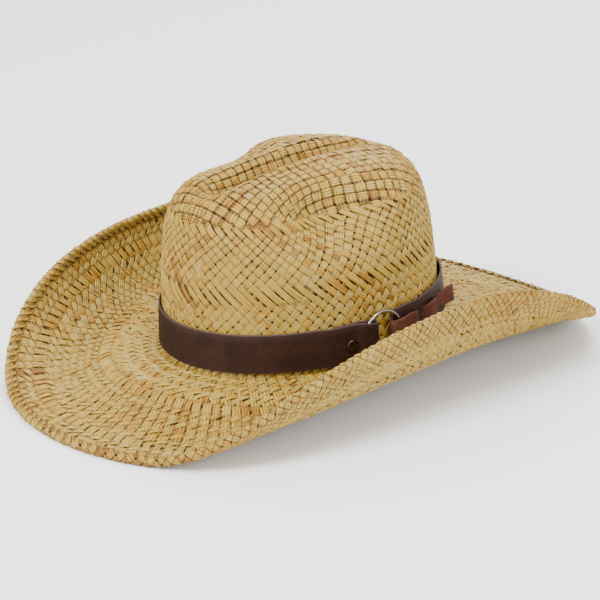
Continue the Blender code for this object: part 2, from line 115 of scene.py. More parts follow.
def brim_point(phi, out, lift=0.0):
    fx, fy, n = BASE_X * np.sin(phi), -BASE_Y * np.cos(phi), outward(phi)
    flat_x, flat_y = fx + n[..., 0] * out, fy + n[..., 1] * out
    x, z = brim_rise(flat_x, flat_y, out)
    x0, z0 = brim_rise(fx, fy, np.zeros_like(fx))
    fade = 1 - smooth(0, FOOT_FADE, out)
    return np.stack([x + (fx - x0) * fade, flat_y, z - z0 * fade + FOOT_Z + lift], -1)


def straw_point(phi, t):
    """Middle of the straw: crown up to CROWN_END, fillet for one more, brim for one more."""
    phi, t = np.broadcast_arrays(np.asarray(phi, float), np.asarray(t, float))
    f = np.clip(t - CROWN_END, 0, 1)
    height = CROWN_PROFILE[-1, 1] * CROWN_HEIGHT - FOOT_Z
    fillet = t < CROWN_END + 1
    out = np.where(
        fillet, FOOT_RADIUS * f * f, FOOT_RADIUS + (BRIM_WIDTH - FOOT_RADIUS) * (t - CROWN_END - 1)
    )
    brim = brim_point(phi, out, np.where(fillet, height * (1 - f) ** 2, 0.0))
    return np.where((t <= CROWN_END)[..., None], crown_point(phi, np.minimum(t, CROWN_END)), brim)


def brim_t(out):
    return CROWN_END + 1 + (out - FOOT_RADIUS) / (BRIM_WIDTH - FOOT_RADIUS)


def normal(phi, t, e=1e-3):
    along = straw_point(phi + e, t) - straw_point(phi - e, t)
    down = straw_point(phi, t + e) - straw_point(phi, t - e)
    n = np.cross(down, along)
    return n / np.linalg.norm(n, axis=-1, keepdims=True)


# Share of the foot's radius and of the height, down the crown's wall.
WALL = spline(CROWN_PROFILE, np.linspace(CROWN_END - 5, CROWN_END, 400))


def wall(phi, z, off):
    """A point at height z on the crown's wall, moved out level by off."""
    phi, z, off = np.broadcast_arrays(*(np.asarray(v, float) for v in (phi, z, off)))
    r = np.interp(-z, -WALL[:, 1] * CROWN_HEIGHT, WALL[:, 0])
    p = np.stack([BASE_X * r * np.sin(phi), -BASE_Y * r * np.cos(phi), z], -1)
    return p + outward(phi) * off[..., None]


TURN = np.array(Matrix.Rotation(REST_TILT, 3, "X"))
ring_at = np.array(frame["joints"][0]["pos_m"])
SHIFT = ring_at - TURN @ wall(radians(RING_DEG), RING_Z, RING_OUT)


def place(points):
    """From the hat's own axes to the resting hat's."""
    return np.asarray(points) @ TURN.T + SHIFT


# ---- mesh making ----
def mesh_object(name, verts, faces, material=None, fields=(), smooth_shade=True):
    """faces is an (n, 4) or (n, 3) array. fields are (name, values per vertex) of 1 or 3 numbers."""
    mesh = bpy.data.meshes.new(name)
    verts, faces = np.asarray(verts, np.float32), np.asarray(faces, np.int32)
    sides = faces.shape[1]
    mesh.vertices.add(len(verts))
    mesh.vertices.foreach_set("co", verts.ravel())
    mesh.loops.add(faces.size)
    mesh.loops.foreach_set("vertex_index", faces.ravel())
    mesh.polygons.add(len(faces))
    mesh.polygons.foreach_set("loop_start", np.arange(0, faces.size, sides, dtype=np.int32))
    for label, values in fields:
        values = np.asarray(values, np.float32)
        kind = "FLOAT" if values.ndim == 1 else "FLOAT_VECTOR"
        layer = mesh.attributes.new(label, kind, "POINT")
        layer.data.foreach_set("value" if values.ndim == 1 else "vector", values.ravel())
    mesh.update(calc_edges=True)
    mesh.validate()
    if smooth_shade:
        mesh.shade_smooth()
    if material:
        mesh.materials.append(material)
    obj = bpy.data.objects.new(name, mesh)
    bpy.context.scene.collection.objects.link(obj)
    return obj


def tube_faces(strands, stations, sides, capped=True):
    """Quads for a (strands, stations, sides) block of vertices, with end caps as quads."""
    index = np.arange(strands * stations * sides).reshape(strands, stations, sides)
    a, b = index[:, :-1], index[:, 1:]
    quads = np.stack([a, np.roll(a, -1, 2), np.roll(b, -1, 2), b], -1).reshape(-1, 4)
    if not capped:
        return quads
    caps = []
    half = sides // 2
    for end, flip in ((index[:, 0], True), (index[:, -1], False)):
        for k in range(half - 1):
            quad = [end[:, k], end[:, k + 1], end[:, sides - 2 - k], end[:, sides - 1 - k]]
            caps.append(np.stack(quad[::-1] if flip else quad, -1))
    return np.concatenate([quads, *caps])


# ---- straw strands ----
VALLEY = 0.18  # height of the groove between two reeds, as a share of the reed's
HALF_THICK = 0.00072
STRAND_LIFT = 0.00056  # how far a strand rises over its neighbours and dips under them
TUCK, TIP_TUCK = 1.2, 0.8  # how far strand ends dip, as shares of the lift
TONE_WAVES = 4


def section(reeds):
    """Outline of a flat strand of round reeds side by side, as (across, up) from -1 to 1."""
    top = []
    for k in range(reeds):
        top.append(((2 * k + 1) / reeds - 1, 1.0))
        if k < reeds - 1:
            top.append(((2 * k + 2) / reeds - 1, VALLEY))
    return np.array([(-1.0, 0.0), *top, (1.0, 0.0), *[(x, -y) for x, y in top[::-1]]])


FOUR, THREE, TWO = section(4), section(3), section(2)


def ribbons(p, n, lift, seed, outline=THREE, wide=0.93, pitch=None, thick=HALF_THICK, tone=None):
    """Strands along rows of points p with normals n; lift is how far each stands off them.

    Returns vertices, quads, and per vertex (along, across, which strand) and its tone."""
    draw = np.random.default_rng(seed)
    count, stations = lift.shape
    along = np.gradient(p, axis=1)
    along /= np.linalg.norm(along, axis=-1, keepdims=True) + 1e-12
    side = np.cross(n, along)
    side /= np.linalg.norm(side, axis=-1, keepdims=True) + 1e-12
    if pitch is None:
        pitch = np.abs(((np.roll(p, -1, 0) - p) * side).sum(-1))
    half = pitch * wide / 2 * (1 + draw.normal(0, 0.08, (count, 1)))
    gone = np.linalg.norm(np.diff(p, axis=1), axis=-1)
    s = np.concatenate([np.zeros((count, 1)), np.cumsum(gone, 1)], 1)
    wave = draw.uniform(0, tau, (count, 1))
    sway = 0.00034 * np.sin(s / 0.013 + wave) + 0.00022 * np.sin(s / 0.0051 + 2 * wave)
    twist = 0.16 * np.sin(s / 0.017 + 3 * wave)
    half = half * (1 + 0.10 * np.sin(s / 0.0083 + 4 * wave))
    x, y = outline[:, 0], outline[:, 1]
    wobble = 1 + 0.12 * np.sin(s / 0.0043 + 5 * wave)
    off_side = half[..., None] * x + sway[..., None]
    off_up = lift[..., None] + thick * y * wobble[..., None] + (twist * half)[..., None] * x
    verts = p[:, :, None] + side[:, :, None] * off_side[..., None] + n[:, :, None] * off_up[..., None]
    which = (np.arange(count) * 0.618034 + seed * 0.37) % 97.0
    fibre = np.empty(verts.shape)
    fibre[..., 0] = s[..., None]
    fibre[..., 1] = x
    fibre[..., 2] = which[:, None, None]
    tone = draw.uniform(0, 1, count) if tone is None else tone
    tones = np.broadcast_to(np.asarray(tone)[:, None, None], verts.shape[:-1])
    # dive_shade_mask: 1 where a strand passes the middle of the weave beside its neighbours' edges, for
    # painted shade there
    dive_shade_mask = 1 - np.abs(lift) / np.abs(lift).max()
    # groove_shade_mask: most at the strand's edges, a little less in the valleys between reeds, none on
    # their crests; it drives painted shade
    groove_shade_mask = np.broadcast_to(0.8 * (1 - np.abs(y)), verts.shape[:-1])
    dive_shade_mask = np.broadcast_to(np.clip(dive_shade_mask, 0, 1)[..., None], verts.shape[:-1])
    faces = tube_faces(count, stations, len(outline))
    return (place(verts.reshape(-1, 3)), faces, fibre.reshape(-1, 3), tones.reshape(-1),
            groove_shade_mask.reshape(-1), dive_shade_mask.reshape(-1))


def merge(parts):
    """One mesh from parts that are vertices, faces and then any number of fields."""
    start, faces = 0, []
    for part in parts:
        faces.append(part[1] + start)
        start += len(part[0])
    tables = (0, *range(2, len(parts[0])))
    verts, *fields = [np.concatenate([part[k] for part in parts]) for k in tables]
    return verts, np.concatenate(faces), fields


# Even steps round the crown's foot, as angles.
FOOT_PHI = np.linspace(0, tau, 2881)
FOOT_ARC = np.concatenate([[0], np.cumsum(np.hypot(
    np.diff(BASE_X * np.sin(FOOT_PHI)), np.diff(BASE_Y * np.cos(FOOT_PHI))))])
FOOT_ARC *= tau / FOOT_ARC[-1]


def even(theta):
    turns = np.floor(theta / tau)
    return np.interp(theta - turns * tau, FOOT_ARC, FOOT_PHI) + turns * tau


# How far the straw runs per turn: equal steps of this keep the two families square to each other.
RUN_T = np.linspace(3.0, brim_t(BRIM_WIDTH + 0.004), 1500)
RUN_POINTS = straw_point(np.linspace(0, tau, 181)[None, :], RUN_T[:, None])
RUN_ROUND = np.linalg.norm(np.diff(RUN_POINTS, axis=1), axis=-1).sum(1)
RUN_STEP = np.linalg.norm(np.diff(RUN_POINTS, axis=0), axis=-1).mean(1)
RUN_LEVEL = np.concatenate([[0], np.cumsum(RUN_STEP / ((RUN_ROUND[1:] + RUN_ROUND[:-1]) / 2 / tau))])


def level(t):
    return np.interp(t, RUN_T, RUN_LEVEL)


def at_level(s):
    return np.interp(s, RUN_LEVEL, RUN_T)


def straw_surface(theta, s):
    phi, t = even(theta), at_level(s)
    return straw_point(phi, t), normal(phi, t)


def noise_by_strand(count, seed):
    """Tones that drift from strand to strand, with some that stand out."""
    draw = np.random.default_rng(seed)
    tone = 0.30 + 0.07 * draw.normal(size=count)
    for k in range(1, TONE_WAVES + 1):
        a, b = draw.normal(size=2) * 0.04
        turn = np.arange(count) * tau * k / count
        tone = tone + a * np.sin(turn) + b * np.cos(turn)
    tone = tone + 0.20 * (draw.uniform(size=count) < 0.14)
    return np.clip(tone, 0, 1)


PER_CROSSING = 2  # stations of a strand for each strand it crosses


def broaden(h):
    """Fuller overs and unders than a plain wave has."""
    return np.sign(h) * np.abs(h) ** 0.7


def lattice(surface, s0, s1, count_b, slope_b, count_a, slope_a, seed, lift=STRAND_LIFT,
            floats=None, wide=(0.93, 0.93), outlines=(THREE, THREE), tones=(None, None)):
    """Two families woven over one, under one. slope is how fast each turns round with s.

    floats(theta, s) is 1 where family b floats over several of a. Strands tuck under at the ends."""
    made = []
    span = abs(slope_b - slope_a) * (s1 - s0) / tau
    for k, (count, slope, others, other_slope) in enumerate((
        (count_b, slope_b, count_a, slope_a), (count_a, slope_a, count_b, slope_b))):
        stations = max(int(round(span * others * PER_CROSSING)), 4) + 1
        s = np.linspace(s0, s1, stations)[None, :]
        theta = np.arange(count)[:, None] * tau / count + slope * (s - s0)
        phase = (theta - other_slope * (s - s0)) * others / tau
        h = np.cos(pi * phase) * np.where(np.arange(count) % 2, -1, 1)[:, None] * (1 - 2 * k)
        h = broaden(h)
        s = np.broadcast_to(s, theta.shape)
        if floats is not None:
            over = floats(theta, s)
            h = h * (1 - over) + over * (1 - 2 * k)
        row = (s1 - s0) / (span * others)
        near = smooth(0, row, np.minimum(s - s0, s1 - s))
        h = h * near - (1 - near) * TUCK
        p, n = surface(theta, s)
        made.append(ribbons(p, n, h * lift, seed + 50 * k, outlines[k], wide[k], tone=tones[k]))
    return made


# ---- materials ----
class Nodes:
    """Short hand for building a material's node tree."""

    def __init__(self, name):
        self.mat = bpy.data.materials.new(name)
        self.mat.use_nodes = True
        self.tree = self.mat.node_tree
        self.shader = self.tree.nodes["Principled BSDF"]

    def add(self, kind, inputs=None, **settings):
        node = self.tree.nodes.new(kind)
        for key, value in settings.items():
            setattr(node, key, value)
        for key, value in (inputs or {}).items():
            if isinstance(value, bpy.types.NodeSocket):
                self.tree.links.new(value, node.inputs[key])
            else:
                node.inputs[key].default_value = value
        return node

    def math(self, operation, a, b=0.0, c=0.0, clamp=False):
        node = self.add("ShaderNodeMath", {0: a, 1: b, 2: c}, operation=operation, use_clamp=clamp)
        return node.outputs[0]

    def ramp(self, fac, stops):
        node = self.add("ShaderNodeValToRGB", {"Fac": fac})
        ramp = node.color_ramp
        while len(ramp.elements) < len(stops):
            ramp.elements.new(0.5)
        for element, (position, color) in zip(ramp.elements, stops):
            element.position = position
            element.color = (*color, 1) if len(color) == 3 else color
        return node.outputs["Color"]

    def mix(self, fac, a, b, blend="MIX"):
        node = self.add("ShaderNodeMix", {0: fac, 6: a, 7: b}, data_type="RGBA", blend_type=blend)
        return node.outputs[2]

    def link(self, value, socket):
        self.tree.links.new(value, self.shader.inputs[socket])

    def set(self, **values):
        for key, value in values.items():
            self.shader.inputs[key.replace("_", " ")].default_value = value


def straw_material(name):
    """Dried reed: fine fibres along the strand, strands of differing tone, painted shade between reeds, at
    strands' edges and where strands dive under.
    """
    m = Nodes(name)
    fibre = m.add("ShaderNodeAttribute", attribute_name="fibre").outputs["Vector"]
    tone = m.add("ShaderNodeAttribute", attribute_name="tone").outputs["Fac"]
    along, across, which = m.add("ShaderNodeSeparateXYZ", {0: fibre}).outputs
    # each reed of a strand has a tone of its own, which drifts slowly along it
    reed = m.math("ROUND", m.math("MULTIPLY", across, 1.6))
    own = m.add("ShaderNodeTexWhiteNoise",
                {"W": m.math("ADD", which, m.math("MULTIPLY", reed, 0.137))}, noise_dimensions="1D")
    seat = m.add("ShaderNodeCombineXYZ", {
        0: m.math("MULTIPLY", along, 30.0), 1: m.math("MULTIPLY", reed, 0.6), 2: which})
    drift = m.add("ShaderNodeTexNoise", {"Vector": seat.outputs[0], "Scale": 1.0, "Detail": 2.0})
    shade = m.math("ADD", tone, m.math("MULTIPLY", own.outputs["Value"], 0.44))
    shade = m.math("ADD", shade, m.math("MULTIPLY", drift.outputs[0], 0.75))
    shade = m.math("SUBTRACT", shade, 0.56)
    color = m.ramp(shade, [
        (0.00, (0.445, 0.332, 0.086)), (0.22, (0.425, 0.292, 0.054)), (0.42, (0.45, 0.286, 0.036)),
        (0.60, (0.40, 0.214, 0.016)), (0.78, (0.30, 0.136, 0.009)), (1.00, (0.17, 0.066, 0.006)),
    ])
    # fibres: noise stretched along the strand
    grain_at = m.add("ShaderNodeCombineXYZ", {
        0: m.math("MULTIPLY", along, 150.0), 1: m.math("MULTIPLY", across, 11.0),
        2: m.math("MULTIPLY", which, 3.1)})
    grain = m.add("ShaderNodeTexNoise",
                  {"Vector": grain_at.outputs[0], "Scale": 1.0, "Detail": 3.0, "Roughness": 0.65})
    streak = m.ramp(grain.outputs[0], [
        (0.32, (0.48, 0.41, 0.32)), (0.50, (1, 1, 1)), (0.72, (1.25, 1.25, 1.20))])
    color = m.mix(1.0, color, streak, "MULTIPLY")
    # painted shade in the grooves between reeds and along the strands' edges
    groove_shade_mask = m.add("ShaderNodeAttribute", attribute_name="groove_shade_mask").outputs["Fac"]
    groove_painted_shade = m.ramp(groove_shade_mask, [(0.25, (1, 1, 1)), (0.72, (0.32, 0.24, 0.13))])
    color = m.mix(1.0, color, groove_painted_shade, "MULTIPLY")
    # painted shade where strands dive under their neighbours
    dive_shade_mask = m.add("ShaderNodeAttribute", attribute_name="dive_shade_mask").outputs["Fac"]
    dive_painted_shade = m.ramp(dive_shade_mask, [(0.50, (1, 1, 1)), (0.97, (0.30, 0.22, 0.12))])
    color = m.mix(1.0, color, dive_painted_shade, "MULTIPLY")
    m.link(color, "Base Color")
    rough = m.math("ADD", 0.42, m.math("MULTIPLY", grain.outputs[0], 0.28))
    m.link(rough, "Roughness")
    bump = m.add("ShaderNodeBump", {"Height": grain.outputs[0], "Strength": 0.5, "Distance": 0.0004})
    m.link(bump.outputs[0], "Normal")
    m.set(Specular_IOR_Level=0.3)
    return m.mat


STRAW = straw_material("straw_reed")


def straw_piece(name, parts, material):
    verts, faces, fields = merge(parts)
    verts[:, 2] = np.maximum(verts[:, 2], 0)  # pressed flat where the hat rests
    obj = mesh_object(name, verts, faces, material, zip(("fibre", "tone", "groove_shade_mask", "dive_shade_mask"), fields))
    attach(obj, "hat")
    return obj


# ---- the weave ----
TIP_END = 6.1  # station where the tip's square weave meets the crown's slanted weave
CROWN_STRANDS = 76
LONG_TOP, LONG_MID = 6.35, 9.22  # stations of the crown's rings of long floats
RING_OUTS = (0.040, 0.0855)  # how far out the brim's rings of long floats are
RING_HALF, RING_SOFT = 0.0038, 0.0018


def crown_floats(theta, s):
    top = smooth(0.042, 0.022, np.abs(s - level(LONG_TOP) - 0.012 * np.sin(theta - 0.4)))
    middle = smooth(0.066, 0.040, np.abs(s - level(LONG_MID) + 0.030 * np.sin(theta - 0.9)))
    return np.maximum(top, middle)


def brim_floats(theta, s):
    out = FOOT_RADIUS + (at_level(s) - CROWN_END - 1) * (BRIM_WIDTH - FOOT_RADIUS)
    near = np.minimum(*(np.abs(out - ring) for ring in RING_OUTS))
    return smooth(RING_HALF + RING_SOFT, RING_HALF - RING_SOFT, near)


straw = []
crown = lattice(straw_surface, level(TIP_END - 0.1), level(CROWN_END + 0.15), CROWN_STRANDS, 1.0,
                CROWN_STRANDS, -1.0, 11, floats=crown_floats, wide=(0.77, 0.89),
                outlines=(THREE, FOUR),
                tones=(noise_by_strand(CROWN_STRANDS, 1) + 0.12, noise_by_strand(CROWN_STRANDS, 2) - 0.08))
straw.append(straw_piece("crown_side_strands_a", [crown[0]], STRAW))
straw.append(straw_piece("crown_side_strands_b", [crown[1]], STRAW))
BRIM_LEAN, BRIM_CROSS = 0.22, -1.20  # how fast the brim's two families turn round as they run out
BRIM_ZONES = [("inner", CROWN_END - 0.25, brim_t(0.0400), 96, 21),
              ("middle", brim_t(0.0345), brim_t(0.0855), 136, 31),
              ("outer", brim_t(0.0800), brim_t(BRIM_WIDTH - 0.0022), 168, 41)]
for zone, t0, t1, count, seed in BRIM_ZONES:
    made = lattice(straw_surface, level(t0), level(t1), count, BRIM_LEAN, count, BRIM_CROSS, seed,
                   floats=brim_floats, wide=(0.86, 0.90), outlines=(THREE, THREE),
                   tones=(noise_by_strand(count, seed + 1) + 0.06,
                          noise_by_strand(count, seed + 2) - 0.10))
    straw.append(straw_piece("brim_" + zone + "_strands_a", [made[0]], STRAW))
    straw.append(straw_piece("brim_" + zone + "_strands_b", [made[1]], STRAW))


def crown_flat(phi, t):
    r, h = np.moveaxis(spline(CROWN_PROFILE, t), -1, 0)
    return np.stack([BASE_X * r * np.sin(phi), -BASE_Y * r * np.cos(phi), h * CROWN_HEIGHT], -1)


def straw_run(phi, ts):
    p = crown_flat(np.full_like(ts, phi), ts)
    return np.concatenate([[0], np.cumsum(np.linalg.norm(np.diff(p, axis=0), axis=-1))])


TIP_PITCH, TIP_LEAST, TIP_MOST = 0.0064, 0.0024, 0.0075
TIP_STEPS = 801
TIP_T = np.linspace(0.0, TIP_END + 0.25, 300)
TIP_RUN = straw_run(radians(45), TIP_T)
TIP_RUN /= TIP_RUN[-1]


def tip_place(x, y):
    """Angle and station of a point of the tip's unit disc."""
    return np.arctan2(x, -y), np.interp(np.clip(np.hypot(x, y), 1e-4, 1), TIP_RUN, TIP_T)


def even_steps(x, y):
    """Length of a line across the tip, and its places at even steps of the straw, as a table."""
    run = np.linalg.norm(np.diff(straw_point(*tip_place(x, y)), axis=0), axis=-1)
    s = np.concatenate([[0], np.cumsum(run)])
    return s[-1], s / s[-1] * 2 - 1


TIP_LINE = np.linspace(-1, 1, TIP_STEPS)
ACROSS, EVEN_ACROSS = even_steps(TIP_LINE, np.zeros(TIP_STEPS))
ALONG, EVEN_ALONG = even_steps(np.zeros(TIP_STEPS), TIP_LINE)
EVEN_ACROSS = 0.85 * EVEN_ACROSS + 0.15 * TIP_LINE


def tip_family(k, seed):
    """One family of the tip's square weave: k is 0 for strands fore and aft, 1 for those across."""
    size, other = (ACROSS, ALONG) if k == 0 else (ALONG, ACROSS)
    mine, across = (EVEN_ACROSS, EVEN_ALONG) if k == 0 else (EVEN_ALONG, EVEN_ACROSS)
    count, cells = (2 * int(round(length / TIP_PITCH / 2)) for length in (size, other))
    tones = noise_by_strand(count, seed)
    parts = []
    for i in range(count):
        o, o_next = np.interp([(i + 0.5) / count * 2 - 1, (i + 0.7) / count * 2 - 1], mine, TIP_LINE)
        half_cells = np.arange(0, cells * PER_CROSSING + 1) / PER_CROSSING
        v = np.interp(half_cells / cells * 2 - 1, across, TIP_LINE)
        keep = np.abs(v) < np.sqrt(1 - o * o)
        if keep.sum() < 4:
            continue
        v, phase = v[keep], half_cells[keep] - 0.5
        pair = [(np.full_like(v, at), v) if k == 0 else (v, np.full_like(v, at))
                for at in (o, o_next)]
        phi, t = tip_place(*pair[0])
        p, n = straw_point(phi, t)[None], normal(phi, t)[None]
        apart = straw_point(*tip_place(*pair[1]))[None] - p
        along = np.gradient(p, axis=1)
        side = np.cross(n, along / np.linalg.norm(along, axis=-1, keepdims=True))
        # apart spans a fifth of the way to the next strand
        pitch = np.clip(np.abs((apart * side).sum(-1)) * 5, TIP_LEAST, TIP_MOST)
        h = np.cos(pi * phase) * (-1) ** i * (1 - 2 * k)
        h = broaden(h)
        near = smooth(0, 0.05, np.sqrt(1 - o * o) - np.abs(v))
        h = (h * near - (1 - near) * TIP_TUCK)[None] * STRAND_LIFT
        parts.append(ribbons(p, n, h, seed + i, pitch=pitch, wide=0.90, tone=tones[i:i + 1]))
    return parts


straw.append(straw_piece("crown_tip_strands_a", tip_family(0, 300), STRAW))
straw.append(straw_piece("crown_tip_strands_b", tip_family(1, 500), STRAW))


def painted_shade_material(name):
    """Painted shade: a dark sheet for the shaded inside of the hat, seen only through the gaps of the
    weave.
    """
    m = Nodes(name)
    at = m.add("ShaderNodeTexCoord").outputs["Object"]
    cloud = m.add("ShaderNodeTexNoise", {"Vector": at, "Scale": 300.0, "Detail": 3.0}).outputs[0]
    color = m.ramp(cloud, [(0.35, (0.020, 0.012, 0.006)), (0.70, (0.050, 0.030, 0.013))])
    m.link(color, "Base Color")
    m.link(m.math("ADD", 0.75, m.math("MULTIPLY", cloud, 0.2)), "Roughness")
    m.set(Specular_IOR_Level=0.05)
    return m.mat


# a dark sheet of painted shade inside the weave
GAP_SHADE = painted_shade_material("straw_gap_shade")
GAP_SHADE_HALF = 0.00005


def gap_shade_shell(name, t0, t1, rows, turns):
    """A thin closed shell of painted shade in the middle of the weave's thickness."""
    phi = np.linspace(0, tau, turns, endpoint=False)[:, None]
    t = np.concatenate([np.linspace(t0, t1, rows), np.linspace(t1, t0, rows)])[None, :]
    way = np.where(np.arange(2 * rows) < rows, GAP_SHADE_HALF, -GAP_SHADE_HALF)[None, :, None]
    verts = place((straw_point(phi, t) + normal(phi, t) * way).reshape(-1, 3))
    index = np.arange(len(verts)).reshape(turns, 2 * rows)
    after = np.roll(index, -1, 0)
    quads = np.stack([index, after, np.roll(after, -1, 1), np.roll(index, -1, 1)], -1)
    obj = mesh_object(name, verts, quads.reshape(-1, 4), GAP_SHADE)
    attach(obj, "hat")
    return obj


# dark shells of painted shade inside the crown's and brim's weave, seen through its gaps
straw.append(gap_shade_shell("crown_gap_shade", 0.02, CROWN_END + 0.1, 90, 160))
straw.append(gap_shade_shell("brim_gap_shade", CROWN_END - 0.1, brim_t(BRIM_WIDTH - 0.004), 50, 220))
for piece in straw:
    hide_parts("straw_body")

# ---- the hem: strand ends turned under and plaited round the brim's edge ----
HEM_UNDER, HEM_TOP, HEM_OFF = 0.0190, 0.0052, 0.0020
HEM_STRANDS, HEM_ROUND, HEM_LIFT = 196, 0.195, 0.00045
HEM_TURN = np.linspace(0, pi, 9)
HEM_PATH = np.array([
    *[(BRIM_WIDTH - HEM_UNDER + d, -HEM_OFF) for d in (0, 0.005, 0.010)],
    *[(BRIM_WIDTH - HEM_OFF + HEM_OFF * sin(a), -HEM_OFF * cos(a)) for a in HEM_TURN],
    (BRIM_WIDTH - HEM_TOP, HEM_OFF),
])
HEM_RUN = np.concatenate([[0], np.cumsum(np.linalg.norm(np.diff(HEM_PATH, axis=0), axis=-1))])
HEM_LENGTH = HEM_RUN[-1]


def hem_point(theta, s):
    run = s * HEM_ROUND
    out, off = np.interp(run, HEM_RUN, HEM_PATH[:, 0]), np.interp(run, HEM_RUN, HEM_PATH[:, 1])
    phi, t = even(theta), brim_t(out)
    return straw_point(phi, t) + normal(phi, t) * off[..., None]


def hem_surface(theta, s, e=1e-3):
    around = hem_point(theta + e, s) - hem_point(theta - e, s)
    ahead = np.minimum(s + e * 2, HEM_LENGTH / HEM_ROUND)
    behind = np.maximum(s - e * 2, 0)
    n = np.cross(around, hem_point(theta, ahead) - hem_point(theta, behind))
    return hem_point(theta, s), n / np.linalg.norm(n, axis=-1, keepdims=True)


hem = lattice(hem_surface, 0.0, HEM_LENGTH / HEM_ROUND, HEM_STRANDS, 1.0, HEM_STRANDS, -1.0, 71,
              lift=HEM_LIFT, wide=(0.95, 0.95),
              tones=(noise_by_strand(HEM_STRANDS, 7), noise_by_strand(HEM_STRANDS, 8)))
for part, letter in zip(hem, "ab"):
    piece = straw_piece("brim_hem_strands_" + letter, [part], STRAW)
    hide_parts("brim_hem")

# ---- loose ends of reed that stand out of the edge and lift off the weave ----
EDGE_ENDS, FACE_ENDS = 230, 260
END_HALF_THICK, END_PITCH = 0.00016, 0.0007


def loose_ends(phi, t, start, ahead, around, rise, seed):
    """Short bent fibres. ahead, around and rise are each end's run in the surface's own directions."""
    base, n = straw_point(phi, t), normal(phi, t)
    down = straw_point(phi, t + 1e-3) - straw_point(phi, t - 1e-3)
    down /= np.linalg.norm(down, axis=-1, keepdims=True)
    side = np.cross(n, down)
    u = np.linspace(0, 1, 5)[None, :, None]
    run = (down * ahead[:, None] + side * around[:, None])[:, None]
    up = n[:, None] * (start[:, None, None] + rise[:, None, None] * u**1.7)
    p = base[:, None] + run * u + up
    flat = np.broadcast_to(n[:, None], p.shape)
    pitch = END_PITCH * (1 - 0.75 * u[..., 0]) * np.ones((len(phi), 1))
    return ribbons(p, flat, np.zeros(p.shape[:2]) + 1e-6, seed, outline=TWO, wide=1.0, pitch=pitch,
                   thick=END_HALF_THICK)


draw = np.random.default_rng(91)
edge_ends = loose_ends(
    draw.uniform(0, tau, EDGE_ENDS), np.full(EDGE_ENDS, brim_t(BRIM_WIDTH - 0.0008)),
    draw.uniform(-0.0012, 0.0016, EDGE_ENDS), draw.uniform(0.0008, 0.0034, EDGE_ENDS),
    draw.normal(0, 0.0030, EDGE_ENDS), draw.normal(0, 0.0008, EDGE_ENDS), 92)
crown_share = FACE_ENDS // 3
face_t = np.concatenate([
    draw.uniform(4.0, CROWN_END - 1.0, crown_share),
    draw.uniform(brim_t(0.012), brim_t(BRIM_WIDTH - 0.012), FACE_ENDS - crown_share)])
face_ends = loose_ends(
    draw.uniform(0, tau, FACE_ENDS), face_t, np.full(FACE_ENDS, 0.0008),
    draw.normal(0, 0.0036, FACE_ENDS), draw.normal(0, 0.0036, FACE_ENDS),
    draw.uniform(0.0004, 0.0016, FACE_ENDS), 93)
piece = straw_piece("brim_edge_loose_ends", [edge_ends], STRAW)
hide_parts("brim_hem")
piece = straw_piece("weave_loose_ends", [face_ends], STRAW)
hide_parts("straw_body")

# ---- the leather band ----
STRAP_THICK, STRAP_BOTTOM, STRAP_TOP = 0.0016, 0.0032, 0.0295
BAND_Z = (STRAP_BOTTOM + STRAP_TOP) / 2
STRAP_OUT, STRAP_LOW, STRAP_LIFT = 0.0029, 0.00265, 0.0040
FOLD_NEAR, FOLD_INSET, FOLD_FAR = 0.0050, 0.0020, 0.0096
FOLD_TAIL_OUT = 0.0030  # the folded end, under the outer run
TONGUE_THICK, TONGUE_OVER, SLIT_HEIGHT = 0.0012, 0.0078, 0.0112
SLIT_DEPTHS = (0.0012, 0.0070)
SLITS = [(105.6, 107.8), (110.0, 112.2), (120.0, 122.2), (124.4, 126.6)]
# The tongue after its fold: angle round the crown, distance out from the straw, half-width (mm).
TONGUE_RUN = np.array([
    (95.5, 8.0, 7.5), (98.0, 7.4, 7.5), (100.4, 6.6, 7.4), (102.6, 7.0, 7.2), (104.4, 6.7, 6.4),
    (106.3, 4.9, 5.3), (107.7, 2.7, 4.9), (108.9, 2.1, 4.8), (110.1, 2.7, 4.9), (111.5, 4.9, 5.3),
    (113.4, 6.9, 6.4), (116.1, 7.8, 7.2), (118.8, 6.9, 6.4), (120.7, 4.9, 5.3), (122.1, 2.7, 4.9),
    (123.3, 2.1, 4.8), (124.5, 2.7, 4.9), (125.9, 4.9, 5.2), (128.4, 6.8, 5.8), (131.5, 9.0, 6.0),
    (134.5, 11.6, 6.0),
])


def arc_rate(phi):
    return np.hypot(BASE_X * np.cos(phi), BASE_Y * np.sin(phi))


def strap_distance(deg):
    """Middle of the strap's outer run from the straw."""
    near = STRAP_OUT + 0.0021 * smooth(59.5, 65.5, deg) + 0.0029 * smooth(74.6, 78.4, deg)
    back = np.mod(deg, 360)
    far = STRAP_LOW + (STRAP_LIFT - STRAP_LOW) * smooth(98, 106, back)
    far = far + (STRAP_OUT - STRAP_LIFT) * smooth(140, 165, back)
    return np.where(deg < -180, far, near)


def fold(deg, offset, inner, outer, way, steps=16):
    """Half a turn from the inner distance to the outer; way is +1 when it bulges forward."""
    radius, middle = (outer - inner) / 2, (outer + inner) / 2
    a = np.linspace(0, pi, steps + 1)
    rate = arc_rate(radians(deg)) + middle
    return np.stack([deg + np.degrees((offset + way * radius * np.sin(a)) / rate),
                     middle - radius * np.cos(a)], -1)


FLAT_ROWS = 6  # rows of vertices across each face of a strap
EDGE_SHARE, EDGE_SQUASH = 0.45, 0.9  # the rounded edge's radius as a share of the thickness
OPENING, CLOSING = (pi / 6, pi / 3, pi / 2), (pi / 2 - 0.15, pi / 3, pi / 6)


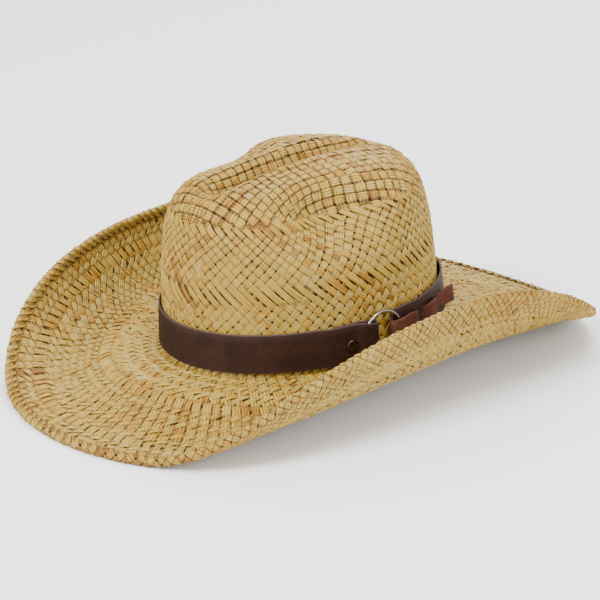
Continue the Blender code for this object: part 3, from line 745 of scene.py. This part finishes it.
def leather(stations, thick):
    """A strap with rounded edges. stations are angle (degrees), distance out, low z, high z.

    Returns vertices, quads, and per vertex (along, height from the middle, face: 1 is outside)."""
    deg, n, low, high = np.asarray(stations).T
    rate = arc_rate(np.radians(deg)) + n
    run = np.radians(np.gradient(deg)) * rate
    rise = np.gradient(n)
    size = np.hypot(run, rise)
    across = np.stack([-rise / size / rate, run / size], -1)
    s = np.concatenate([[0], np.cumsum(np.hypot(np.diff(np.radians(deg)) * rate[1:], np.diff(n)))])
    half, r = thick / 2, thick * EDGE_SHARE

    def corner(share, inward, side, turns):
        return [(share, inward * r * (1 - sin(a)),
                 side * half - side * r * (1 - cos(a)) * EDGE_SQUASH, 0.0) for a in turns]

    flat = np.linspace(0, 1, FLAT_ROWS)
    outline = [(v, r * (1 - 2 * v), -half, -1.0) for v in flat]
    outline += corner(1, -1, -1, OPENING) + corner(1, -1, 1, CLOSING)
    outline += [(v, r * (1 - 2 * v), half, 1.0) for v in flat[::-1]]
    outline += corner(0, 1, 1, OPENING) + corner(0, 1, -1, CLOSING)
    share, inset, d, face = np.array(outline).T
    height = low[:, None] + (high - low)[:, None] * share + inset
    phi = np.radians(deg)[:, None] + across[:, :1] * d
    verts = wall(phi, height, n[:, None] + across[:, 1:] * d)
    hide = np.empty(verts.shape)
    hide[..., 0], hide[..., 1] = s[:, None], height - ((low + high) / 2)[:, None]
    hide[..., 2] = face
    quads = tube_faces(1, len(deg), len(share))
    return place(verts.reshape(-1, 3)), quads, hide.reshape(-1, 3)


def leather_material(name, base, worn, edge, rough, suede=False):
    """Hide: mottled, finely grained, paler at its cut edges and where it rubs."""
    m = Nodes(name)
    hide = m.add("ShaderNodeAttribute", attribute_name="hide").outputs["Vector"]
    _, height, face = m.add("ShaderNodeSeparateXYZ", {0: hide}).outputs
    at = m.add("ShaderNodeTexCoord").outputs["Object"]
    cloud = m.add("ShaderNodeTexNoise", {"Vector": at, "Scale": 55.0, "Detail": 4.0}).outputs[0]
    fine = m.add("ShaderNodeTexNoise",
                 {"Vector": at, "Scale": 700.0, "Detail": 3.0, "Roughness": 0.7}).outputs[0]
    pores = m.add("ShaderNodeTexVoronoi", {"Vector": at, "Scale": 1500.0}).outputs["Distance"]
    color = m.mix(m.ramp(cloud, [(0.38, (0, 0, 0)), (0.70, (1, 1, 1))]), (*base, 1), (*worn, 1))
    speck = m.ramp(fine, [(0.32, (0.70, 0.66, 0.64)), (0.52, (1, 1, 1)), (0.75, (1.30, 1.25, 1.2))])
    color = m.mix(1.0, color, speck, "MULTIPLY")
    rub = m.ramp(m.math("ABSOLUTE", height), [(0.0112, (0, 0, 0)), (0.0131, (0.55, 0.55, 0.55))])
    color = m.mix(rub, color, (*edge, 1))
    cut = m.math("SUBTRACT", 1.0, m.math("ABSOLUTE", face), clamp=True)
    color = m.mix(m.math("MULTIPLY", cut, 0.0 if suede else 0.8), color, (*edge, 1))
    m.link(color, "Base Color")
    m.link(m.math("ADD", rough, m.math("MULTIPLY", fine, 0.22)), "Roughness")
    grain = m.math("ADD", m.math("MULTIPLY", pores, 0.0 if suede else 0.6), fine)
    bump = m.add("ShaderNodeBump", {"Height": grain, "Strength": 0.45 if suede else 0.30,
                                    "Distance": 0.0003})
    m.link(bump.outputs[0], "Normal")
    m.set(Specular_IOR_Level=0.08 if suede else 0.09)
    return m.mat


LEATHER = leather_material("band_leather", (0.0185, 0.0084, 0.0056), (0.032, 0.0128, 0.0078),
                           (0.060, 0.038, 0.034), 0.46)
SUEDE = leather_material("tongue_suede", (0.072, 0.025, 0.017), (0.115, 0.042, 0.029),
                         (0.070, 0.034, 0.029), 0.72, suede=True)


def hide_object(name, made, material):
    verts, faces, hide = made
    return mesh_object(name, verts, faces, material, [("hide", hide)])


def leather_piece(name, made, material):
    obj = hide_object(name, made, material)
    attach(obj, "hat")
    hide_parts("hatband_strap")
    return obj


crest = float(strap_distance(83.0))
turn_in = (crest - STRAP_LOW) / 2
path = [(d, FOLD_TAIL_OUT) for d in (67.0, 69.0, 73.0, 75.0)] + [(77.5, STRAP_LOW)]
path += [*fold(RING_DEG, -FOLD_NEAR - turn_in - STRAP_THICK / 2, STRAP_LOW, crest, 1)]
outer_run = [*np.arange(80.0, 58.0, -0.5), *np.arange(57.0, -267.0, -2.0), -267.2]
path += [(d, float(strap_distance(d))) for d in outer_run]
shape = []
for deg, n in path:
    inset = FOLD_INSET * float(smooth(78.0, 81.0, deg))
    shape.append((deg, n, STRAP_BOTTOM + inset, STRAP_TOP - inset))
band = leather(shape, STRAP_THICK)

half = TONGUE_RUN[0, 2] / 1000
stations = [(d, n, half) for d, n in [
    (97.0, STRAP_LOW), (95.0, STRAP_LOW), (93.4, STRAP_LOW),
    *fold(RING_DEG, FOLD_FAR, STRAP_LOW, TONGUE_OVER, -1)]]
steps = np.arange(0, len(TONGUE_RUN) - 1 + 0.01, 0.2)
stations += [(d, n / 1000, w / 1000) for d, n, w in spline(TONGUE_RUN, steps)]
tongue = leather([(d, n, BAND_Z - w, BAND_Z + w) for d, n, w in stations], TONGUE_THICK)


def slit_cutter():
    parts = []
    for low, high in SLITS:
        phi = np.radians([low, high])[:, None]
        z = BAND_Z + SLIT_HEIGHT / 2 * np.array([-1, 1, 1, -1])
        n = np.repeat(SLIT_DEPTHS, 2)
        verts = place(wall(phi, z[None], n[None]).reshape(-1, 3))
        parts.append((verts, tube_faces(1, 2, 4)))
    verts, faces, _ = merge(parts)
    return mesh_object("cutter", verts, faces, smooth_shade=False)


def face_outward(mesh):
    made = bmesh.new()
    made.from_mesh(mesh)
    bmesh.ops.recalc_face_normals(made, faces=made.faces)
    made.to_mesh(mesh)
    made.free()


def cut_slits(obj):
    cutter = slit_cutter()
    face_outward(cutter.data)
    face_outward(obj.data)
    cut = obj.modifiers.new("slits", "BOOLEAN")
    cut.operation, cut.object, cut.solver = "DIFFERENCE", cutter, "EXACT"
    done = obj.evaluated_get(bpy.context.evaluated_depsgraph_get())
    obj.data = bpy.data.meshes.new_from_object(done)
    obj.modifiers.clear()
    bpy.data.objects.remove(cutter)


strap = leather_piece("leather_band", band, LEATHER)
cut_slits(strap)
leather_piece("leather_tongue", tongue, SUEDE)

# ---- metal ----
def metal_material(name, color, dull, rough):
    m = Nodes(name)
    at = m.add("ShaderNodeTexCoord").outputs["Object"]
    cloud = m.add("ShaderNodeTexNoise", {"Vector": at, "Scale": 260.0, "Detail": 4.0}).outputs[0]
    fine = m.add("ShaderNodeTexNoise", {"Vector": at, "Scale": 2600.0, "Detail": 2.0}).outputs[0]
    mask = m.ramp(cloud, [(0.42, (0, 0, 0)), (0.66, (1, 1, 1))])
    m.link(m.mix(mask, (*color, 1), (*dull, 1)), "Base Color")
    m.link(m.math("ADD", rough, m.math("MULTIPLY", mask, 0.18)), "Roughness")
    bump = m.add("ShaderNodeBump", {"Height": m.math("ADD", fine, m.math("MULTIPLY", cloud, 2.0)),
                                    "Strength": 0.12, "Distance": 0.0002})
    m.link(bump.outputs[0], "Normal")
    m.set(Metallic=1.0)
    return m.mat


NICKEL = metal_material("aged_nickel", (0.34, 0.31, 0.295), (0.16, 0.140, 0.130), 0.22)
ANTIQUE = metal_material("antique_brass", (0.030, 0.023, 0.017), (0.070, 0.050, 0.036), 0.22)
WIRE = metal_material("spring_wire", (0.50, 0.50, 0.50), (0.30, 0.29, 0.28), 0.35)
RING_RADIUS, RING_WIRE = 0.0152, 0.0011
RING_AROUND, RING_THROUGH = 120, 16  # stations
axis = Vector(frame["joints"][0]["axis"]).normalized()
around = np.linspace(0, tau, RING_AROUND, endpoint=False)
through = np.linspace(0, tau, RING_THROUGH, endpoint=False)
wire = RING_WIRE * (1 + 0.03 * np.sin(3 * around + 1) + 0.02 * np.sin(11 * around))[:, None]
reach = RING_RADIUS + wire * np.cos(through)
points = np.stack([reach * np.cos(around)[:, None], reach * np.sin(around)[:, None],
                   np.broadcast_to(wire * np.sin(through), reach.shape)], -1).reshape(-1, 3)
turned = points @ np.array(axis.to_track_quat("Z", "Y").to_matrix()).T + ring_at
index = np.arange(len(points)).reshape(RING_AROUND, RING_THROUGH)
quads = np.stack([index, np.roll(index, -1, 0), np.roll(np.roll(index, -1, 0), -1, 1),
                  np.roll(index, -1, 1)], -1).reshape(-1, 4)
ring = mesh_object("band_ring_wire", turned, quads, NICKEL)
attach(ring, "ring")
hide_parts("band_ring")


def refinish(node, material):
    for slot in bpy.data.objects[node].material_slots:
        slot.material = material


refinish("rivet_cap", ANTIQUE)
refinish("rivet_post", NICKEL)
refinish("brim_wire", WIRE)

# ---- the sweatband, its stitches and label ----
SWEAT_IN, SWEAT_OUT, SWEAT_LOW, SWEAT_TOP = -0.0025, -0.0015, 0.0006, 0.0318
SWEAT_RIPPLE, SWEAT_MIDDLE = 0.00025, 0.002
CLOTH_LOWEST, FOOT_REACH = -0.0004, 0.0915  # FOOT_REACH: about the sweatband's mean radius
LABEL_FROM, LABEL_TO, LABEL_LOW, LABEL_TOP = 171, 189, 0.0112, 0.0258
LABEL_IN, LABEL_OUT = -0.0034, -0.0029


def cloth_material(name, warp, weft, threads):
    """Woven cloth: threads crossing, seen in its own (along, height) measure."""
    m = Nodes(name)
    hide = m.add("ShaderNodeAttribute", attribute_name="hide").outputs["Vector"]
    along, height, _ = m.add("ShaderNodeSeparateXYZ", {0: hide}).outputs
    u = m.math("SINE", m.math("MULTIPLY", along, threads * tau))
    v = m.math("SINE", m.math("MULTIPLY", height, threads * tau))
    over = m.math("ADD", m.math("MULTIPLY", m.math("MULTIPLY", u, v), 0.5), 0.5)
    soft = m.add("ShaderNodeTexNoise", {"Vector": hide, "Scale": 900.0, "Detail": 3.0}).outputs[0]
    wear = m.add("ShaderNodeTexNoise", {"Vector": hide, "Scale": 40.0, "Detail": 3.0}).outputs[0]
    color = m.mix(over, (*warp, 1), (*weft, 1))
    fuzz = m.ramp(soft, [(0.3, (0.72, 0.72, 0.72)), (0.7, (1.2, 1.2, 1.2))])
    color = m.mix(1.0, color, fuzz, "MULTIPLY")
    patches = m.ramp(wear, [(0.35, (0.82, 0.80, 0.78)), (0.65, (1.1, 1.1, 1.1))])
    color = m.mix(1.0, color, patches, "MULTIPLY")
    m.link(color, "Base Color")
    m.link(m.math("ADD", 0.74, m.math("MULTIPLY", soft, 0.2)), "Roughness")
    bump = m.add("ShaderNodeBump", {"Height": m.math("ADD", over, soft), "Strength": 0.5,
                                    "Distance": 0.0003})
    m.link(bump.outputs[0], "Normal")
    m.set(Specular_IOR_Level=0.2)
    return m.mat


def cloth_band(deg, low, high, inner, outer, closed, ripple=0.0):
    """A band of cloth on the crown's inside; its section is closed, with a rolled lower edge."""
    rows = 14
    v = np.linspace(0, 1, rows)
    a = np.linspace(0, pi, 6)[1:-1]
    mid, r = (inner + outer) / 2, (outer - inner) / 2
    z = np.concatenate([low + (high - low) * v, high + r * np.sin(a),
                        (low + (high - low) * v)[::-1], low - r * np.sin(a)])
    n = np.concatenate([np.full(rows, outer), mid + r * np.cos(a), np.full(rows, inner),
                        mid - r * np.cos(a)])
    phi = np.radians(deg)[:, None]
    bend = ripple * np.sin(phi * 7 + z * 60) * np.sin(phi * 3 + 1)
    verts = wall(phi, np.maximum(z, CLOTH_LOWEST), n - np.abs(bend))
    hide = np.empty(verts.shape)
    hide[..., 0], hide[..., 1], hide[..., 2] = phi * FOOT_REACH, z, 0.0
    count = len(z)
    quads = tube_faces(1, len(deg), count, capped=not closed)
    if closed:
        last, first = (len(deg) - 1) * count + np.arange(count), np.arange(count)
        join = np.stack([last, np.roll(last, -1), np.roll(first, -1), first], -1)
        quads = np.concatenate([quads, join])
    return place(verts.reshape(-1, 3)), quads, hide.reshape(-1, 3)


def cloth_piece(name, made, material, node):
    obj = hide_object(name, made, material)
    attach(obj, "hat")
    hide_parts(node)
    return obj


SWEAT_CLOTH = cloth_material("sweatband_twill", (0.115, 0.075, 0.040), (0.205, 0.145, 0.082), 900.0)
LABEL_CLOTH = cloth_material("label_satin", (0.60, 0.57, 0.50), (0.74, 0.71, 0.64), 1400.0)
sweat = cloth_piece("sweatband_cloth_band", cloth_band(
    np.arange(0, 360, 1.5), SWEAT_LOW, SWEAT_TOP, SWEAT_IN, SWEAT_OUT, True, SWEAT_RIPPLE),
    SWEAT_CLOTH, "sweatband")
label = cloth_piece("size_label_cloth", cloth_band(
    np.linspace(LABEL_FROM, LABEL_TO, 20), LABEL_LOW, LABEL_TOP, LABEL_IN, LABEL_OUT, False),
    LABEL_CLOTH, "size_label")

THREAD_Z, STITCHES, THREAD_R = 0.0070, 132, 0.00030
STITCH_SHARE, STITCH_OUT = 0.36, -0.0026  # half of a stitch as a share of the pitch
STITCH_SIDES, STITCH_STATIONS = 8, 7
parts = []
for k in range(STITCHES):
    mid_deg = 360 * (k + 0.5) / STITCHES
    t = np.linspace(-1, 1, STITCH_STATIONS)
    phi = np.radians(mid_deg + t * 360 / STITCHES * STITCH_SHARE)
    rise = STITCH_OUT - 0.0005 * np.sqrt(np.clip(1 - t**2, 0, 1)) + 0.0004 * (np.abs(t) > 0.99)
    spin = np.linspace(0, tau, STITCH_SIDES, endpoint=False)
    thick = THREAD_R * np.where(np.abs(t) > 0.99, 0.5, 1.0)[:, None]
    z = THREAD_Z + thick * np.cos(spin) + 0.00012 * t[:, None]
    verts = wall(phi[:, None], z, rise[:, None] + thick * np.sin(spin))
    hide = np.zeros(verts.shape)
    hide[..., 0] = (t * 0.0015)[:, None] + spin * 0.0003
    hide[..., 1] = spin * 0.0003
    parts.append((place(verts.reshape(-1, 3)), tube_faces(1, STITCH_STATIONS, STITCH_SIDES),
                  hide.reshape(-1, 3)))
verts, faces, (hide,) = merge(parts)
THREAD = cloth_material("sewing_thread", (0.42, 0.34, 0.22), (0.60, 0.50, 0.34), 1600.0)
stitches = cloth_piece("sweatband_stitches", (verts, faces, hide), THREAD, "sweatband_thread")

# ---- camera, light, floor ----
CAMERA_DISTANCE, CAMERA_FOCAL = 1.577, 1453.8
CAMERA_RIGHT, CAMERA_UP = -0.00196, 0.0148
cam_turn = Matrix.Rotation(radians(50.0), 3, "Z") @ Matrix.Rotation(radians(90 - 21.5), 3, "X")
roll = Matrix.Rotation(radians(-3.5), 3, "Z")
facing = cam_turn @ roll
right, up, back = (np.array(facing.col[k]) for k in range(3))
eye = back * CAMERA_DISTANCE + right * CAMERA_RIGHT + up * CAMERA_UP
cam = bpy.data.cameras.new("camera")
cam.sensor_width = 36
cam.lens = 36 * CAMERA_FOCAL * CAMERA_DISTANCE / 600
cam.clip_end = 50
cam_obj = bpy.data.objects.new("camera", cam)
bpy.context.scene.collection.objects.link(cam_obj)
turn = Matrix(TURN.tolist())
cam_obj.matrix_world = Matrix.Translation(Vector(place(eye))) @ (turn @ facing).to_4x4()
bpy.context.scene.camera = cam_obj

FLOOR_HALF, FLOOR_Z = 6, -0.0002
corners = [(x * FLOOR_HALF, y * FLOOR_HALF, FLOOR_Z) for x, y in ((-1, -1), (1, -1), (1, 1), (-1, 1))]
floor = mesh_object("floor", corners, [(0, 1, 2, 3)], smooth_shade=False)
floor_look = Nodes("floor")
floor_look.set(Base_Color=(0.95, 0.95, 0.95, 1), Roughness=0.9)
floor.data.materials.append(floor_look.mat)

world = bpy.data.worlds.new("studio")
world.use_nodes = True
world.node_tree.nodes["Background"].inputs[0].default_value = (1, 1, 1, 1)
world.node_tree.nodes["Background"].inputs[1].default_value = 1.45
bpy.context.scene.world = world


def area_light(name, at, aim, size, watts):
    data = bpy.data.lights.new(name, "AREA")
    data.shape, data.size, data.energy = "DISK", size, watts
    obj = bpy.data.objects.new(name, data)
    bpy.context.scene.collection.objects.link(obj)
    obj.location = at
    obj.rotation_euler = (Vector(aim) - Vector(at)).to_track_quat("-Z", "Y").to_euler()
    return obj


area_light("key", (0.1, -1.6, 1.5), (0, 0, 0.06), 0.8, 54)
area_light("fill", (1.9, 0.3, 0.8), (0, 0, 0.06), 1.0, 26)
area_light("rim", (-1.0, 1.2, 1.4), (0, 0, 0.08), 0.8, 22)
area_light("top", (0.7, -0.2, 1.9), (-0.05, 0, 0.02), 0.8, 22)
